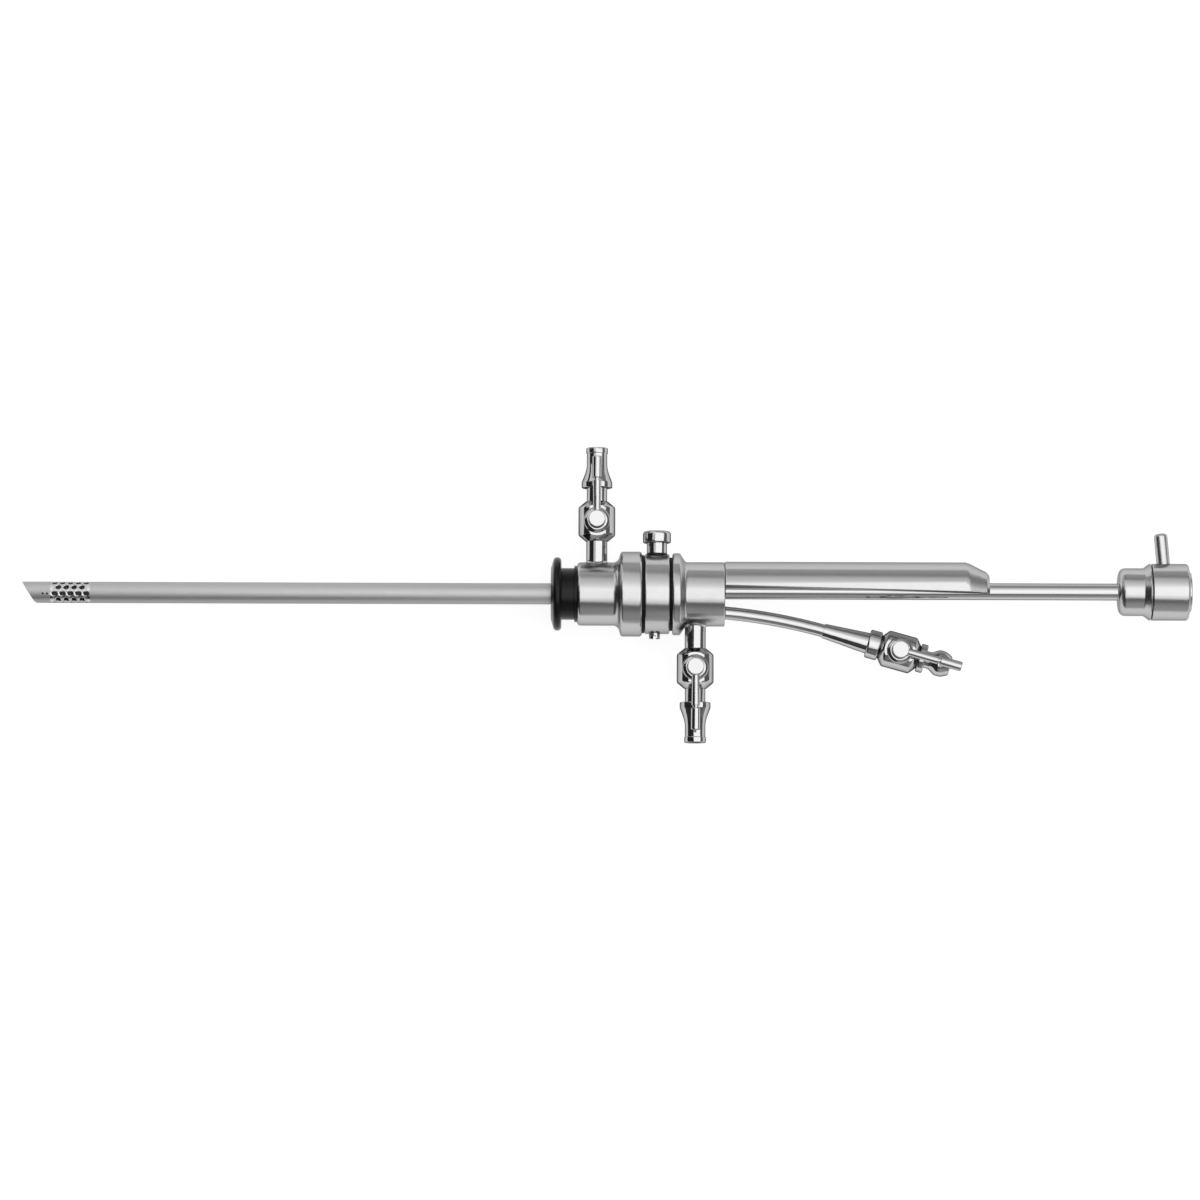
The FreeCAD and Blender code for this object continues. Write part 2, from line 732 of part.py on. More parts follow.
def at_outer_tap(shape):
    """Move a piece from the tap's own frame to the outflow tap, whose nozzle points to +Y."""
    shape.rotate(Vector(0, 0, 0), Vector(0, 0, 1), 90)
    shape.translate(Vector(outer_tap_x, sheath_y + outer_tap_distance, 0))
    return shape


def at_inner_tap(shape):
    """Move a piece from the tap's own frame to the inflow tap, whose nozzle points to -Y."""
    shape.rotate(Vector(0, 0, 0), Vector(0, 0, 1), -90)
    shape.translate(Vector(inner_tap_x, sheath_y - inner_tap_distance, 0))
    return shape


def make_channel_ferrule():
    """Long cone on the channel tube, ending in the spigot that enters the tap."""
    cone_end = -tap_half_length - union_length
    bore = channel_radius + solder_gap
    return at_port(turned([(cone_end - ferrule_length, bore),
                           (cone_end - ferrule_length, bore + ferrule_wall),
                           (cone_end, ferrule_end_radius), (cone_end, pipe_spigot_radius),
                           (-socket_bottom - solder_gap, pipe_spigot_radius),
                           (-socket_bottom - solder_gap, channel_bore_radius),
                           (-tap_half_length, channel_bore_radius), (-tap_half_length, bore)]))


def make_union_nut():
    """Polished collar that clamps the ferrule to the tap."""
    start = -tap_half_length - union_length
    bore = pipe_spigot_radius + solder_gap
    return at_port(turned([(start, bore), (start, union_radius, union_rounding),
                           (-tap_half_length, union_radius, union_rounding), (-tap_half_length, bore)]))


def make_tap_body():
    """Tap barrel with chamfered ends, flats and conical bosses, bored for flow and for the tapered plug."""
    half = tap_half_length
    barrel = turned([(-half, 0), (-half, tap_shoulder_radius, tap_end_rounding),
                     (-half + tap_corner, tap_radius, tap_corner_rounding),
                     (half - tap_corner, tap_radius, tap_corner_rounding),
                     (half, tap_shoulder_radius, tap_end_rounding), (half, 0)])
    barrel = barrel.common(block(Vector(-half, -tap_radius, -tap_flat), Vector(half, tap_radius, tap_flat)))
    boss_rim = tap_top - tap_boss_cone
    boss = turned_upright([(0, -tap_top), (tap_boss_top_radius, -tap_top, tap_boss_rounding),
                           (tap_boss_radius, -boss_rim, tap_boss_rounding),
                           (tap_boss_radius, boss_rim, tap_boss_rounding),
                           (tap_boss_top_radius, tap_top, tap_boss_rounding), (0, tap_top)])
    taper = Part.makeCone(plug_bottom_radius, plug_top_radius, 2 * tap_top, Vector(0, 0, -tap_top))
    flow = rod(Vector(-half, 0, 0), Vector(half, 0, 0), tap_bore_radius)
    sockets = [rod(Vector(side * half, 0, 0), Vector(side * socket_bottom, 0, 0),
                   pipe_spigot_radius + solder_gap) for side in (-1, 1)]
    return barrel.fuse(boss).removeSplitter().cut([taper, flow] + sockets)


def make_tap_plug():
    """Tapered plug with its flow hole, a stem for the knob above and a stud for the nut below."""
    low = -tap_top + plug_recess
    slope = (plug_top_radius - plug_bottom_radius) / (2 * tap_top)
    stud_end = -tap_top - washer_dish - washer_thickness - nut_height
    body = turned_upright([(0, stud_end), (plug_stud_radius, stud_end), (plug_stud_radius, low),
                           (plug_bottom_radius + slope * plug_recess - plug_gap, low),
                           (plug_top_radius - plug_gap, tap_top), (plug_stem_radius, tap_top),
                           (plug_stem_radius, tap_top + plug_stem_height), (0, tap_top + plug_stem_height)])
    flow = rod(Vector(-plug_top_radius, 0, 0), Vector(plug_top_radius, 0, 0), tap_bore_radius)
    return body.cut(flow)


def make_tap_lever():
    """Round knob on the stem with the stepped lever rod in its side, in line with the nozzle."""
    start = tap_top + knob_gap
    top = start + knob_height
    knob = turned_upright([(0, start), (knob_radius, start, knob_chamfer), (knob_radius, top, knob_chamfer),
                           (0, top)])
    groove_end = lever_groove_start + lever_groove_width
    arm = turned([(0, 0), (0, lever_root_radius),
                  (lever_groove_start, lever_radius), (lever_groove_start, lever_radius - lever_groove_depth),
                  (groove_end, lever_radius - lever_groove_depth), (groove_end, lever_tip_radius, lever_groove_rounding),
                  (lever_length, lever_tip_radius, knob_chamfer), (lever_length, 0)])
    arm.translate(Vector(0, 0, lever_height))
    stem_hole = rod(Vector(0, 0, start), Vector(0, 0, tap_top + plug_stem_height + solder_gap),
                    plug_stem_radius + solder_gap)
    return knob.fuse(arm).cut(stem_hole)


def make_tap_washer():
    """Dished spring washer that draws the plug into its taper."""
    high = -tap_top - solder_gap
    return turned_upright([(plug_stud_radius + solder_gap, high - washer_dish - washer_thickness),
                           (washer_radius, high - washer_thickness), (washer_radius, high),
                           (plug_stud_radius + solder_gap, high - washer_dish)])


def make_tap_nut():
    """Slotted cap nut on the plug's stud."""
    high = -tap_top - washer_dish - washer_thickness - 2 * solder_gap
    low = high - nut_height
    inner = plug_stud_radius + solder_gap
    nut = turned_upright([(inner, high), (inner, low), (nut_radius, low, knob_chamfer),
                          (nut_radius, high, knob_chamfer)])
    slot = block(Vector(-nut_radius, -nut_slot_width / 2, low),
                 Vector(nut_radius, nut_slot_width / 2, low + nut_slot_depth))
    return nut.cut(slot)


def make_hose_nozzle():
    """Nozzle with a skirt, a concave flare, a slim neck and a rounded lip, bored for a luer cone."""
    lip_start = nozzle_length - nozzle_lip_width
    skirt_rim = nozzle_skirt_start + nozzle_skirt_rim
    bore_end = nozzle_length - nozzle_bore_depth
    return turned([(socket_bottom + solder_gap, pipe_bore_radius),
                   (socket_bottom + solder_gap, pipe_spigot_radius),
                   (tap_half_length, pipe_spigot_radius), (tap_half_length, nozzle_waist_radius),
                   (nozzle_skirt_start, nozzle_waist_radius),
                   (nozzle_skirt_start, nozzle_skirt_radius, nozzle_skirt_rounding),
                   (skirt_rim, nozzle_skirt_radius, nozzle_skirt_rounding),
                   (skirt_rim + nozzle_flare_length, nozzle_waist_radius, nozzle_flare_rounding),
                   (lip_start, nozzle_neck_end_radius),
                   (lip_start, nozzle_lip_radius, nozzle_lip_root_rounding),
                   (nozzle_length, nozzle_lip_radius, nozzle_lip_rounding),
                   (nozzle_length, nozzle_bore_radius), (bore_end, nozzle_bore_radius),
                   (bore_end, pipe_bore_radius)])


def make_branch_pipe(tap_distance, hub_radius):
    """Pipe from the seat in a hub to the tap, in the tap's frame."""
    start = -(tap_distance - hub_radius + pipe_seat_depth) + solder_gap
    end = -tap_half_length
    tip = -socket_bottom - solder_gap
    return turned([(start, pipe_bore_radius), (start, pipe_radius), (end, pipe_radius),
                   (end, pipe_spigot_radius), (tip, pipe_spigot_radius), (tip, pipe_bore_radius)])


def make_port_fitting():
    """Instrument port: shoulder ring, neck and rounded head with the bore for the seal."""
    ring_end = tap_half_length + port_ring_width
    head_start = ring_end + port_neck_length
    head_end = head_start + port_head_length
    shelf = head_end - port_bore_depth
    floor = shelf - port_seal_thickness
    return at_port(turned([(socket_bottom + solder_gap, channel_bore_radius),
                           (socket_bottom + solder_gap, pipe_spigot_radius),
                           (tap_half_length, pipe_spigot_radius),
                           (tap_half_length, port_ring_radius, port_ring_rounding),
                           (ring_end, port_ring_radius, port_ring_rounding), (ring_end, port_neck_radius),
                           (head_start, port_neck_radius, port_neck_rounding),
                           (head_start + port_head_shoulder, port_head_radius, port_head_shoulder_rounding),
                           (head_end - port_head_dome, port_head_radius, port_head_rounding),
                           (head_end, port_mouth_radius, port_mouth_rounding),
                           (head_end, port_bore_radius), (shelf, port_bore_radius),
                           (shelf, port_seal_radius), (floor, port_seal_radius),
                           (floor, channel_bore_radius)]))


def make_port_seal():
    """Rubber disc with a small hole, at the bottom of the port's bore."""
    ring_end = tap_half_length + port_ring_width
    floor = ring_end + port_neck_length + port_head_length - port_bore_depth - port_seal_thickness
    return at_port(tube(floor, floor + port_seal_thickness, port_seal_radius - solder_gap,
                        port_seal_hole_radius))


def make_head_body():
    """Coupling head: collar, cone, and the sleeve that carries the lock ring round the telescope socket."""
    land_end = -head_shoulder
    land_start = land_end - head_land_length
    land_radius = lock_ring_radius - solder_gap
    bore = telescope_radius + telescope_gap + running_gap
    seal_front = -telescope_seal_place - telescope_seal_thickness / 2
    seal_rear = seal_front + telescope_seal_thickness
    seal_floor = bore - telescope_seal_gap + telescope_seal_thickness
    body = turned([(head_front_x, guide_tube_radius + solder_gap),
                   (head_front_x, head_radius, head_rounding),
                   (land_start - head_cone_length, head_radius, head_cone_rounding),
                   (land_start, land_radius), (land_end, land_radius), (land_end, sleeve_radius),
                   (sleeve_end, sleeve_radius, sleeve_rounding), (sleeve_end, socket_radius, socket_rounding),
                   (0, socket_radius), (0, bore), (seal_rear, bore), (seal_rear, seal_floor),
                   (seal_front, seal_floor), (seal_front, bore), (-tube_seat_start, bore),
                   (-tube_seat_start, guide_tube_radius + solder_gap)])
    half_slot = bayonet_slot_width / 2
    slot = block(Vector(sleeve_end - bayonet_slot_depth, -half_slot, -sleeve_radius - cutter_spare),
                 Vector(sleeve_end + cutter_spare, half_slot, 0))
    groove = tube(retainer_place - retainer_width / 2 - solder_gap,
                  retainer_place + retainer_width / 2 + solder_gap,
                  sleeve_radius + cutter_spare, sleeve_radius - retainer_depth)
    stop_hole = rod(Vector(stop_pin_place, 0, -socket_radius), Vector(stop_pin_place, 0, -lock_ring_radius),
                    stop_pin_radius + solder_gap)
    return body.cut([slot, groove, stop_hole])


def make_telescope_seal():
    """Rubber ring in the head that seals on the telescope."""
    bore = telescope_radius + telescope_gap + running_gap
    outer = bore - telescope_seal_gap + telescope_seal_thickness - solder_gap
    return o_ring(-telescope_seal_place, outer, telescope_seal_thickness - 2 * solder_gap)


def make_ring_retainer():
    """Open snap ring that keeps the lock ring on its sleeve."""
    ring = tube(retainer_place - retainer_width / 2, retainer_place + retainer_width / 2,
                sleeve_radius + retainer_height, sleeve_radius - retainer_depth + solder_gap)
    opening = block(Vector(0, 0, -retainer_opening / 2), Vector(sleeve_end, sleeve_end, retainer_opening / 2))
    return ring.cut(opening)


def make_ring_stop_pin():
    """Short pin in the sleeve that ends the lock ring's turn."""
    return rod(Vector(stop_pin_place, 0, -socket_radius - solder_gap),
               Vector(stop_pin_place, 0, -sleeve_radius - stop_pin_height), stop_pin_radius)


def ring_sector(start_x, end_x, radius, middle_deg, sweep_deg):
    """Sector of a disc about X; its middle is turned middle_deg from -Z towards +Y."""
    wedge = Part.makeCylinder(radius, end_x - start_x, Vector(start_x, 0, 0), Vector(1, 0, 0), sweep_deg)
    centre = wedge.CenterOfMass
    fresh_deg = math.degrees(math.atan2(centre.y, -centre.z))
    wedge.rotate(Vector(0, 0, 0), Vector(1, 0, 0), middle_deg - fresh_deg)
    return wedge


def make_lock_ring():
    """Bayonet ring: inner tracks for the telescope's pin and the stop pin, a seat for the thumb pin."""
    bore = sleeve_radius + running_gap
    ring = turned([(lock_ring_start, bore), (lock_ring_start, lock_ring_radius, lock_ring_front_rounding),
                   (lock_ring_end, lock_ring_radius, lock_ring_rounding), (lock_ring_end, bore)])
    retainer_track = tube(retainer_place - retainer_width / 2 - running_gap,
                          retainer_place + retainer_width / 2 + running_gap,
                          sleeve_radius + retainer_height + running_gap, sleeve_radius)
    track_end = sleeve_end - bayonet_slot_depth + bayonet_track_width
    track = ring_sector(track_end - bayonet_track_width, track_end, bayonet_track_radius,
                        -lock_turn_deg / 2, lock_turn_deg + lock_track_spare_deg)
    half_slot = bayonet_slot_width / 2
    entry = block(Vector(track_end - bayonet_track_width, -half_slot, -bayonet_track_radius),
                  Vector(lock_ring_end + cutter_spare, half_slot, 0))
    half_stop = stop_pin_radius + stop_slot_gap
    stop_track = ring_sector(stop_pin_place - half_stop, stop_pin_place + half_stop,
                             sleeve_radius + stop_pin_height + stop_slot_gap,
                             -lock_turn_deg / 2, lock_turn_deg + lock_track_spare_deg)
    seat, spigot_hole = [thumb_pin_shape(thumb_pin_radius + solder_gap, -thumb_pin_seat, thumb_pin_height),
                         thumb_pin_shape(thumb_pin_spigot_radius + solder_gap,
                                         -thumb_pin_seat - thumb_pin_spigot_length, 0)]
    return ring.cut([retainer_track, track, entry, stop_track, seat, spigot_hole])


def thumb_pin_shape(radius, low, high):
    """Straight length of the leaning thumb pin, counted from the lock ring's surface."""
    piece = rod(Vector(0, lock_ring_radius + low, 0), Vector(0, lock_ring_radius + high, 0), radius)
    return lean(piece)


def lean(piece):
    """Lean a piece on the lock ring towards the tip, about the ring's surface."""
    piece.rotate(Vector(0, lock_ring_radius, 0), Vector(0, 0, 1), thumb_pin_lean_deg)
    piece.translate(Vector(thumb_pin_place, 0, 0))
    return piece


def make_lock_ring_pin():
    """Thumb pin that turns the lock ring, round at its end."""
    spigot_low = -thumb_pin_seat - thumb_pin_spigot_length
    pin = turned_upright([(0, spigot_low), (thumb_pin_spigot_radius, spigot_low),
                          (thumb_pin_spigot_radius, -thumb_pin_seat), (thumb_pin_radius, -thumb_pin_seat),
                          (thumb_pin_radius, thumb_pin_height, thumb_pin_rounding), (0, thumb_pin_height)])
    return lean(upright_at(pin, 0, lock_ring_radius))


def make_hub_o_ring():
    """Seal round the spigot's end."""
    return o_ring(o_ring_x, spigot_hole_radius - seal_squeeze, o_ring_thickness - 2 * seal_squeeze, sheath_y)


def tap_pieces(name, place):
    """The five pieces that each of the three taps shares."""
    return {name + "_stopcock_body": place(make_tap_body()),
            name + "_plug": place(make_tap_plug()),
            name + "_lever": place(make_tap_lever()),
            name + "_spring_washer": place(make_tap_washer()),
            name + "_cap_nut": place(make_tap_nut())}


def make_pieces():
    """All pieces of the sheath by name."""
    pieces = {
        "outer_tube": make_outer_tube(),
        "nose_flange": make_nose_flange(),
        "nose_ring": make_nose_ring(),
        "outer_hub": make_outer_hub(),
        "index_pin": make_index_pin(),
        "hub_o_ring": make_hub_o_ring(),
        "outer_branch_pipe": at_outer_tap(make_branch_pipe(outer_tap_distance, outer_hub_radius)),
        "outer_nozzle": at_outer_tap(make_hose_nozzle()),
        "inner_tube": make_inner_tube(),
        "lock_housing": make_lock_housing(),
        "lock_slide": make_lock_slide(),
        "slide_pin": make_slide_pin(),
        "button_bush": make_button_bush(),
        "release_button": make_release_button(),
        "button_spring": make_button_spring(),
        "inner_hub": make_inner_hub(),
        "hub_gasket": make_hub_gasket(),
        "inner_branch_pipe": at_inner_tap(make_branch_pipe(inner_tap_distance, inner_hub_radius)),
        "inner_nozzle": at_inner_tap(make_hose_nozzle()),
        "guide_tube": make_guide_tube(),
        "grip": make_grip(),
        "channel_tube": make_channel_tube(),
        "channel_ferrule": make_channel_ferrule(),
        "union_nut": make_union_nut(),
        "port_fitting": make_port_fitting(),
        "port_seal": make_port_seal(),
        "head_body": make_head_body(),
        "telescope_seal": make_telescope_seal(),
        "ring_retainer": make_ring_retainer(),
        "ring_stop_pin": make_ring_stop_pin(),
        "lock_ring": make_lock_ring(),
        "lock_ring_pin": make_lock_ring_pin(),
    }
    pieces.update(tap_pieces("outer", at_outer_tap))
    pieces.update(tap_pieces("inner", at_inner_tap))
    pieces.update(tap_pieces("port", at_port))
    return pieces


os.makedirs("parts", exist_ok=True)
for node, shape in make_pieces().items():
    shape.exportStep("parts/" + node + ".step")
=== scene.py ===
import math

import bpy
import numpy as np
from mathutils import Matrix, Vector


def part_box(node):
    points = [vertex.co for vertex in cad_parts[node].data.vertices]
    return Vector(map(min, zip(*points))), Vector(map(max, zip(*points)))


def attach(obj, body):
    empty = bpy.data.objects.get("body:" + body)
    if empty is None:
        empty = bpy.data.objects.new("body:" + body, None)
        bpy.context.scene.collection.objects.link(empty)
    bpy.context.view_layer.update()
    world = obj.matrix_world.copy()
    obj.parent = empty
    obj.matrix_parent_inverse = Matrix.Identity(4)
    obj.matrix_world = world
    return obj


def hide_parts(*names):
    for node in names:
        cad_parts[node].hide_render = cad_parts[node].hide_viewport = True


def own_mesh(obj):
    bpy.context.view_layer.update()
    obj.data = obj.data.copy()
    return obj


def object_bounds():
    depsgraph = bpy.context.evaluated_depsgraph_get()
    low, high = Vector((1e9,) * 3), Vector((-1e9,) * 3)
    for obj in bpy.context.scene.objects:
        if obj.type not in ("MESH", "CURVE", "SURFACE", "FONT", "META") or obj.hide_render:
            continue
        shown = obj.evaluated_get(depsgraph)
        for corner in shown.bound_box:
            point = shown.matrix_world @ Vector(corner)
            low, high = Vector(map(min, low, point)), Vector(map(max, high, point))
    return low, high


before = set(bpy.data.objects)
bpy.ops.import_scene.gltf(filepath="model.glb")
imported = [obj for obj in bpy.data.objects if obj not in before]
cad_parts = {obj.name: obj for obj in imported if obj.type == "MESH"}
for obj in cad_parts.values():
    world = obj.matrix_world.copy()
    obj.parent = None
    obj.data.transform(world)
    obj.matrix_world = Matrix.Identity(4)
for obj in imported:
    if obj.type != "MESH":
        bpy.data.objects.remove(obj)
cad_low, cad_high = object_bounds()


# The photograph's view: a long lens looks straight down on the sheath, tipped a few degrees so that the
# lower ends of the knobs show, and rolled a little so that the tip lies slightly high.
view_centre = Vector((-0.1479, -0.00255, 0.0))
view_distance = 1.4
view_elevation = math.radians(84.5)
view_roll = math.radians(0.18)
view_width = 0.320
view_limit = 20
camera_data = bpy.data.cameras.new("view_camera")
camera_data.lens = camera_data.sensor_width * view_distance / view_width
camera_data.clip_end = view_limit
camera = bpy.data.objects.new("view_camera", camera_data)
away = Vector((0, -math.cos(view_elevation), math.sin(view_elevation)))
camera.location = view_centre + away * view_distance
tilt = Matrix.Rotation(math.pi / 2 - view_elevation, 3, "X")
camera.rotation_euler = (tilt @ Matrix.Rotation(view_roll, 3, "Z")).to_euler()
bpy.context.scene.collection.objects.link(camera)
bpy.context.scene.camera = camera
bpy.context.scene.view_settings.view_transform = "Standard"


# Pale table that the sheath lies on. Its paint keeps the soft shadow, and a glow that lights nothing, seen by
# the camera and in polished metal alone, lifts it to the photograph's white.
floor_reach = 3.0
floor_paint_grey = 0.25
floor_lift = 0.88


def emptied(owner):
    """Node tree of a material or world, without nodes."""
    owner.use_nodes = True
    owner.node_tree.nodes.clear()
    return owner.node_tree


def add(tree, kind, inputs=None, **settings):
    """New node of a kind, with its input sockets' constants and its own settings."""
    node = tree.nodes.new(kind)
    for name, value in settings.items():
        setattr(node, name, value)
    for name, value in (inputs or {}).items():
        node.inputs[name].default_value = value
    return node


def link(tree, source, output, target, socket):
    """Link one node's output to another's input."""
    tree.links.new(source.outputs[output], target.inputs[socket])


floor_mesh = bpy.data.meshes.new("floor")
floor_corners = [(x, y, cad_low[2]) for x, y in
                 ((-floor_reach, -floor_reach), (floor_reach, -floor_reach), (floor_reach, floor_reach),
                  (-floor_reach, floor_reach))]
floor_mesh.from_pydata(floor_corners, [], [(0, 1, 2, 3)])
floor = bpy.data.objects.new("floor", floor_mesh)
bpy.context.scene.collection.objects.link(floor)
white_table = bpy.data.materials.new("white_table")
tree = emptied(white_table)
out = add(tree, "ShaderNodeOutputMaterial")
paint = add(tree, "ShaderNodeBsdfDiffuse", {"Color": (floor_paint_grey,) * 3 + (1,)})
glow = add(tree, "ShaderNodeEmission", {"Color": (1, 1, 1, 1)})
rays = add(tree, "ShaderNodeLightPath")
seen = add(tree, "ShaderNodeMath", operation="MAXIMUM")
seen_through = add(tree, "ShaderNodeMath", operation="MAXIMUM")
lift = add(tree, "ShaderNodeMath", {1: floor_lift}, operation="MULTIPLY")
both = add(tree, "ShaderNodeAddShader")
link(tree, rays, "Is Camera Ray", seen, 0)
link(tree, rays, "Is Glossy Ray", seen, 1)
link(tree, seen, 0, seen_through, 0)
link(tree, rays, "Is Transmission Ray", seen_through, 1)
link(tree, seen_through, 0, lift, 0)
link(tree, lift, 0, glow, "Strength")
link(tree, paint, 0, both, 0)
link(tree, glow, 0, both, 1)
link(tree, both, 0, out, "Surface")
floor.data.materials.append(white_table)


# Dim walls of the studio, plain white to the camera, and darkest to the left and part way down in front, as
# black cards would make them. The first stops are degrees from straight up, from -Y to +Y, with brightness.
# The second are the reach along X, from -1 to 1, with a share of it.
around_stops = ((-90, 0.55), (-62, 0.45), (-45, 0.22), (-28, 0.19), (36, 0.35), (50, 0.30), (78, 0.50),
                (90, 0.50))
along_stops = ((-1.0, 0.10), (-0.36, 0.10), (-0.08, 1.0), (0.20, 1.0), (1.0, 0.5))


def grey_ramp(tree, stops):
    """Colour ramp of greys from (place, brightness) pairs."""
    ramp = add(tree, "ShaderNodeValToRGB")
    elements = ramp.color_ramp.elements
    for place, grey in stops[1:-1]:
        elements.new(place)
    for element, (place, grey) in zip(elements, stops):
        element.position = place
        element.color = (grey, grey, grey, 1)
    return ramp


studio = bpy.data.worlds.new("studio")
bpy.context.scene.world = studio
tree = emptied(studio)
out = add(tree, "ShaderNodeOutputWorld")
direction = add(tree, "ShaderNodeTexCoord")
split = add(tree, "ShaderNodeSeparateXYZ")
height = add(tree, "ShaderNodeMath", {1: 0.0}, operation="MAXIMUM")
around = add(tree, "ShaderNodeMath", operation="ARCTAN2")
around_place = add(tree, "ShaderNodeMapRange", {"From Min": -math.pi / 2, "From Max": math.pi / 2})
around_ramp = grey_ramp(tree, [((angle + 90) / 180, grey) for angle, grey in around_stops])
along_place = add(tree, "ShaderNodeMapRange", {"From Min": -1.0, "From Max": 1.0})
along_ramp = grey_ramp(tree, [((reach + 1) / 2, grey) for reach, grey in along_stops])
walls = add(tree, "ShaderNodeMix", {"Factor": 1.0}, data_type="RGBA", blend_type="MULTIPLY")
room = add(tree, "ShaderNodeBackground")
white = add(tree, "ShaderNodeBackground", {"Color": (1, 1, 1, 1)})
rays = add(tree, "ShaderNodeLightPath")
choose = add(tree, "ShaderNodeMixShader")
link(tree, direction, "Generated", split, "Vector")
link(tree, split, "Z", height, 0)
link(tree, split, "Y", around, 0)
link(tree, height, 0, around, 1)
link(tree, around, 0, around_place, "Value")
link(tree, around_place, 0, around_ramp, "Fac")
link(tree, split, "X", along_place, "Value")
link(tree, along_place, 0, along_ramp, "Fac")
link(tree, around_ramp, "Color", walls, 6)
link(tree, along_ramp, "Color", walls, 7)
link(tree, walls, 2, room, "Color")
link(tree, rays, "Is Camera Ray", choose, "Fac")
link(tree, room, 0, choose, 1)
link(tree, white, 0, choose, 2)
link(tree, choose, 0, out, "Surface")


# Long soft box overhead, fairly bright at its front edge, brightest above the sheath and fading towards the
# back. It reaches out to the right only, so slopes that face the tip stay dark. A second box continues it to
# the left, but starts behind the tube.
def soft_box(name, height, left, right, strength, brightness, only_reflected=False):
    """Glowing panel whose brightness changes along Y, as (Y, brightness) pairs; the camera can't see it.
    One that is only reflected lights nothing and shades nothing: it shows in polished metal alone."""
    front, back = brightness[0][0], brightness[-1][0]
    mesh = bpy.data.meshes.new(name)
    corners = [(x, y, height) for x, y in ((left, front), (left, back), (right, back), (right, front))]
    mesh.from_pydata(corners, [], [(0, 1, 2, 3)])
    panel = bpy.data.objects.new(name, mesh)
    panel.visible_camera = False
    panel.visible_diffuse = panel.visible_shadow = not only_reflected
    bpy.context.scene.collection.objects.link(panel)
    material = bpy.data.materials.new(name)
    tree = emptied(material)
    out = add(tree, "ShaderNodeOutputMaterial")
    glow = add(tree, "ShaderNodeEmission")
    place = add(tree, "ShaderNodeTexCoord")
    split = add(tree, "ShaderNodeSeparateXYZ")
    spot = add(tree, "ShaderNodeMapRange", {"From Min": front, "From Max": back})
    ramp = grey_ramp(tree, [((y - front) / (back - front), grey) for y, grey in brightness])
    power = add(tree, "ShaderNodeMath", {1: strength}, operation="MULTIPLY")
    link(tree, place, "Object", split, "Vector")
    link(tree, split, "Y", spot, "Value")
    link(tree, spot, 0, ramp, "Fac")
    link(tree, ramp, "Color", power, 0)
    link(tree, power, 0, glow, "Strength")
    link(tree, glow, 0, out, "Surface")
    panel.data.materials.append(material)


soft_box("main_box", height=0.9, left=-0.36, right=1.35, strength=1.80,
         brightness=((-0.62, 0.62), (-0.44, 0.76), (-0.29, 1.0), (0.20, 1.0), (0.34, 0.78), (0.58, 0.57),
                     (0.90, 0.45), (1.30, 0.36)))
soft_box("rear_box", height=0.9, left=-0.80, right=-0.36, strength=1.3,
         brightness=((0.10, 0.7), (0.40, 1.0), (1.60, 1.0)))


# Two low cards beside the long tube, a white one behind it and a nearly black one in front. They light
# nothing and show in reflections alone, where they shape the bright and dark bands along the steel.
soft_box("tube_white_card", height=0.12, left=-0.50, right=-0.20, strength=1.0,
         brightness=((0.09, 1.0), (0.70, 1.0)), only_reflected=True)
soft_box("tube_black_card", height=0.12, left=-0.50, right=-0.20, strength=0.04,
         brightness=((-0.70, 1.0), (-0.09, 1.0)), only_reflected=True)


# Turned satin steel: hubs, rings, grip and head. Fine turning lines run round the X axis, and the gloss is
# slightly uneven, as on blasted and handled steel.
steel_grey = (0.50, 0.50, 0.505)
edge_round = 0.00018
edge_samples = 4
edge_begins = 0.995
edge_is_full = 0.90
relief_strength = 0.5
turning_axis = (1.0, 0.003, 0.002)
weld_reach = 1e-6
crease_angle = math.radians(28)


